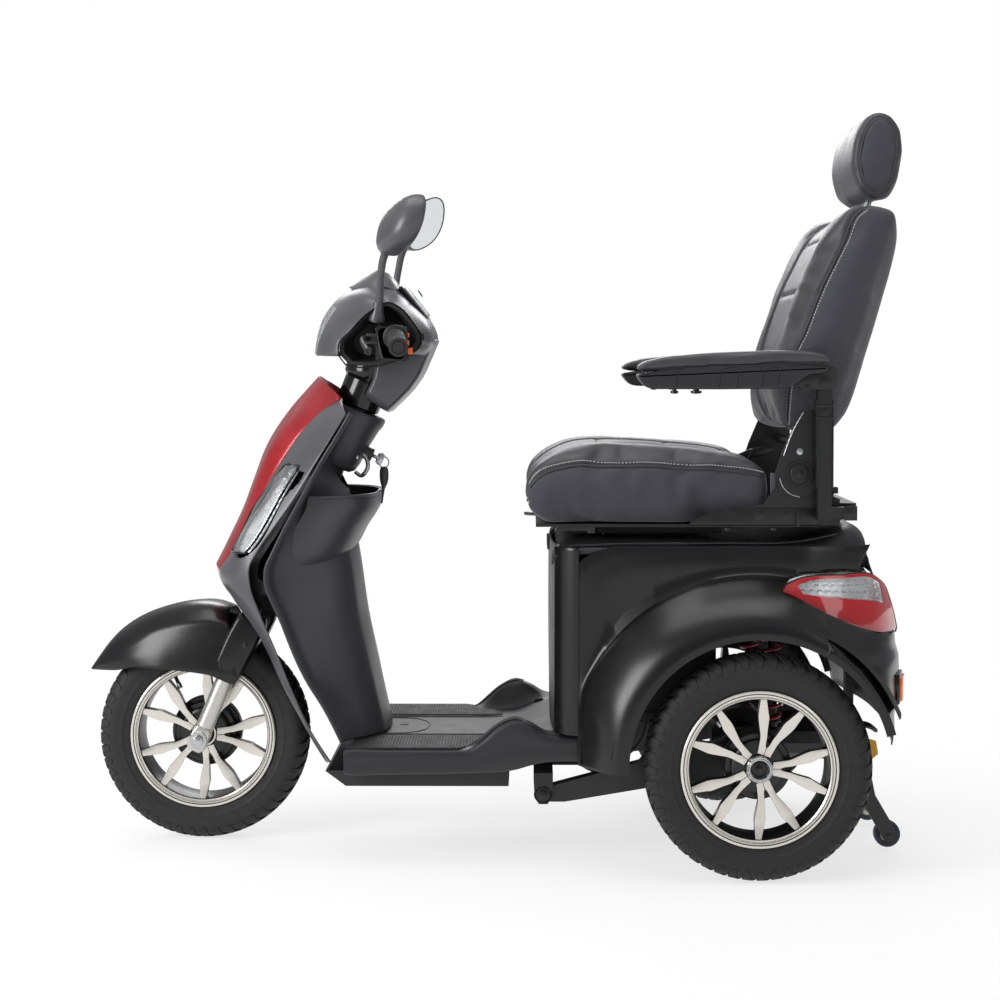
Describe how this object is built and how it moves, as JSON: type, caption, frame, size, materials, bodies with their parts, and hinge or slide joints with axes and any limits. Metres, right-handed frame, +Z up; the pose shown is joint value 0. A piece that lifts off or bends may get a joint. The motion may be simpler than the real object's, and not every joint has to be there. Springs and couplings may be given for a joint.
{
  "type": "mobility scooter",
  "caption": "Three-wheeled seated mobility scooter with a tiller and mirrors, enclosed leg shield, flat footboard, high-backed swivel armchair seat and a body over the rear wheels.",
  "frame": {"origin": "on the ground, at the middle of the scooter's length and width", "axes": "+X forward, +Y to the rider's left, +Z up"},
  "size_m": [1.5613, 0.688, 1.396],
  "materials": {
    "tyre_rubber": "matt black rubber",
    "wheel_alloy": "machined faces, black between the spokes",
    "fork_alloy": "satin silver",
    "frame_paint": "satin black powder coat",
    "body_grey": "satin dark grey moulding",
    "body_black": "fine-grained black moulding",
    "body_red": "deep red metallic lacquer",
    "soft_rubber": "matt rubber",
    "clear_lens": "clear moulded lens",
    "red_lens": "red and clear moulded lens",
    "spring_red": "red coil spring",
    "seat_vinyl": "charcoal vinyl with white stitching",
    "orange_plastic": "orange button",
    "yellow_plastic": "yellow lever"
  },
  "bodies": {
    "chassis": {"main_frame": "frame_paint", "rear_frame": "frame_paint", "front_cover": "body_red", "side_panel_left": "body_grey", "side_panel_right": "body_grey", "lamp_strip_left": "clear_lens", "lamp_strip_right": "clear_lens", "leg_shield": "body_black", "column_cover": "body_black", "floorboard": "body_black", "floor_mat": "soft_rubber", "belly_pan": "body_black", "rear_side_left": "body_grey", "rear_side_right": "body_grey", "rear_deck": "body_black", "rear_bumper": "body_grey", "tail_lamp_left": "red_lens", "tail_lamp_right": "red_lens", "battery_pack": "body_black", "shock_left": "spring_red", "shock_right": "spring_red", "anti_tip_frame": "frame_paint"},
    "steering": {"fork_upper": "frame_paint", "front_fender": "body_grey", "handlebar": "frame_paint", "cowl": "body_grey", "headlight_lens": "clear_lens", "grip_left": "soft_rubber"},
    "fork_legs": {"fork_lower": "fork_alloy"},
    "front_wheel": {"front_rim": "wheel_alloy", "front_tyre": "tyre_rubber"},
    "throttle": {"throttle_grip": "soft_rubber"},
    "left_brake": {"brake_lever_left": "frame_paint"},
    "right_brake": {"brake_lever_right": "frame_paint"},
    "horn": {"horn_button": "orange_plastic"},
    "left_mirror": {"mirror_left": "body_black"},
    "right_mirror": {"mirror_right": "body_black"},
    "ignition_key": {"key": "fork_alloy"},
    "fob": {"key_fob": "body_black"},
    "swing_arm": {"swing_arm_left": "frame_paint", "swing_arm_right": "frame_paint", "drive_unit": "frame_paint"},
    "rear_wheel_left": {"rear_rim_left": "wheel_alloy", "rear_tyre_left": "tyre_rubber"},
    "rear_wheel_right": {"rear_rim_right": "wheel_alloy", "rear_tyre_right": "tyre_rubber"},
    "tip_wheel_left": {"anti_tip_wheel_left": "soft_rubber"},
    "tip_wheel_right": {"anti_tip_wheel_right": "soft_rubber"},
    "freewheel": {"freewheel_lever": "yellow_plastic"},
    "swivel": {"swivel_plate": "frame_paint"},
    "lever": {"seat_lever": "body_black"},
    "seat": {"seat_frame": "frame_paint", "seat_cushion": "seat_vinyl", "armrest_post_left": "frame_paint", "armrest_post_right": "frame_paint"},
    "back": {"backrest": "seat_vinyl", "backrest_frame": "frame_paint"},
    "head_pad": {"headrest": "seat_vinyl"},
    "left_armrest": {"armrest_left": "seat_vinyl"},
    "right_armrest": {"armrest_right": "seat_vinyl"}
  },
  "joints": [
    {"name": "steering", "type": "hinge", "parent": "chassis", "child": "steering", "pos_m": [0.531, 0, 0.1942], "axis": [-0.3907, 0, 0.9205], "range_deg": [-35, 35]},
    {"name": "fork_travel", "type": "slide", "parent": "steering", "child": "fork_legs", "axis": [-0.3907, 0, 0.9205], "range_m": [0, 0.035], "stiffness_N_per_m": 15000, "springref_m": -0.04},
    {"name": "front_wheel_spin", "type": "hinge", "parent": "fork_legs", "child": "front_wheel", "pos_m": [0.554, 0, 0.204], "axis": [0, 1, 0], "continuous": true},
    {"name": "throttle_twist", "type": "hinge", "parent": "steering", "child": "throttle", "pos_m": [0.168, -0.2, 0.973], "axis": [-0.1201, -0.977, -0.1762], "range_deg": [0, 55], "stiffness_Nm_per_rad": 0.15, "springref_deg": -17.19},
    {"name": "left_brake_pull", "type": "hinge", "parent": "steering", "child": "left_brake", "pos_m": [0.214, 0.186, 0.968], "axis": [0, 0, 1], "range_deg": [0, 12], "stiffness_Nm_per_rad": 1, "springref_deg": -8.59},
    {"name": "right_brake_pull", "type": "hinge", "parent": "steering", "child": "right_brake", "pos_m": [0.214, -0.186, 0.968], "axis": [0, 0, -1], "range_deg": [0, 12], "stiffness_Nm_per_rad": 1, "springref_deg": -8.59},
    {"name": "horn_press", "type": "slide", "parent": "steering", "child": "horn", "axis": [0.9932, 0, -0.1168], "range_m": [0, 0.0025], "stiffness_N_per_m": 300, "springref_m": -0.002},
    {"name": "left_mirror_swivel", "type": "hinge", "parent": "steering", "child": "left_mirror", "pos_m": [0.2, 0.152, 1.04], "axis": [-0.1318, 0.2197, 0.9666], "range_deg": [-30, 30]},
    {"name": "right_mirror_swivel", "type": "hinge", "parent": "steering", "child": "right_mirror", "pos_m": [0.2, -0.152, 1.04], "axis": [-0.1318, -0.2197, 0.9666], "range_deg": [-30, 30]},
    {"name": "key_turn", "type": "hinge", "parent": "chassis", "child": "ignition_key", "pos_m": [0.23523, 0, 0.74767], "axis": [-0.9205, 0, -0.3907], "range_deg": [0, 90]},
    {"name": "fob_swing", "type": "hinge", "parent": "ignition_key", "child": "fob", "pos_m": [0.20486, 0, 0.72677], "axis": [0, 1, 0], "range_deg": [0, 50]},
    {"name": "rear_suspension", "type": "hinge", "parent": "chassis", "child": "swing_arm", "pos_m": [-0.104, 0, 0.124], "axis": [0, 1, 0], "range_deg": [0, 5], "stiffness_Nm_per_rad": 6000, "springref_deg": -5.73, "deforming": ["shock_left", "shock_right"]},
    {"name": "rear_wheel_left_spin", "type": "hinge", "parent": "swing_arm", "child": "rear_wheel_left", "pos_m": [-0.486, 0.3, 0.204], "axis": [0, 1, 0], "continuous": true},
    {"name": "rear_wheel_right_spin", "type": "hinge", "parent": "swing_arm", "child": "rear_wheel_right", "pos_m": [-0.486, -0.3, 0.204], "axis": [0, 1, 0], "continuous": true},
    {"name": "tip_wheel_left_spin", "type": "hinge", "parent": "chassis", "child": "tip_wheel_left", "pos_m": [-0.756, 0.102, 0.032], "axis": [0, 1, 0], "continuous": true},
    {"name": "tip_wheel_right_spin", "type": "hinge", "parent": "chassis", "child": "tip_wheel_right", "pos_m": [-0.756, -0.102, 0.032], "axis": [0, 1, 0], "continuous": true},
    {"name": "freewheel_pull", "type": "hinge", "parent": "chassis", "child": "freewheel", "pos_m": [-0.716, 0.064, 0.2], "axis": [0, 1, 0], "range_deg": [0, 45]},
    {"name": "seat_swivel", "type": "hinge", "parent": "chassis", "child": "swivel", "pos_m": [-0.3, 0, 0.6], "axis": [0, 0, 1], "range_deg": [-90, 90]},
    {"name": "seat_lever_pull", "type": "hinge", "parent": "swivel", "child": "lever", "pos_m": [-0.196, 0.158, 0.614], "axis": [0, 0, 1], "range_deg": [0, 20], "stiffness_Nm_per_rad": 0.3, "springref_deg": -5.73},
    {"name": "seat_slide", "type": "slide", "parent": "swivel", "child": "seat", "axis": [1, 0, 0], "range_m": [-0.05, 0.05]},
    {"name": "recline", "type": "hinge", "parent": "seat", "child": "back", "pos_m": [-0.565, 0, 0.724], "axis": [0, -1, 0], "range_deg": [-40, 25]},
    {"name": "headrest_lift", "type": "slide", "parent": "back", "child": "head_pad", "axis": [-0.1736, 0, 0.9848], "range_m": [0, 0.06]},
    {"name": "left_armrest_flip", "type": "hinge", "parent": "seat", "child": "left_armrest", "pos_m": [-0.606, 0.275, 0.889], "axis": [0, -1, 0], "range_deg": [0, 90]},
    {"name": "right_armrest_flip", "type": "hinge", "parent": "seat", "child": "right_armrest", "pos_m": [-0.606, -0.275, 0.889], "axis": [0, -1, 0], "range_deg": [0, 90]}
  ]
}
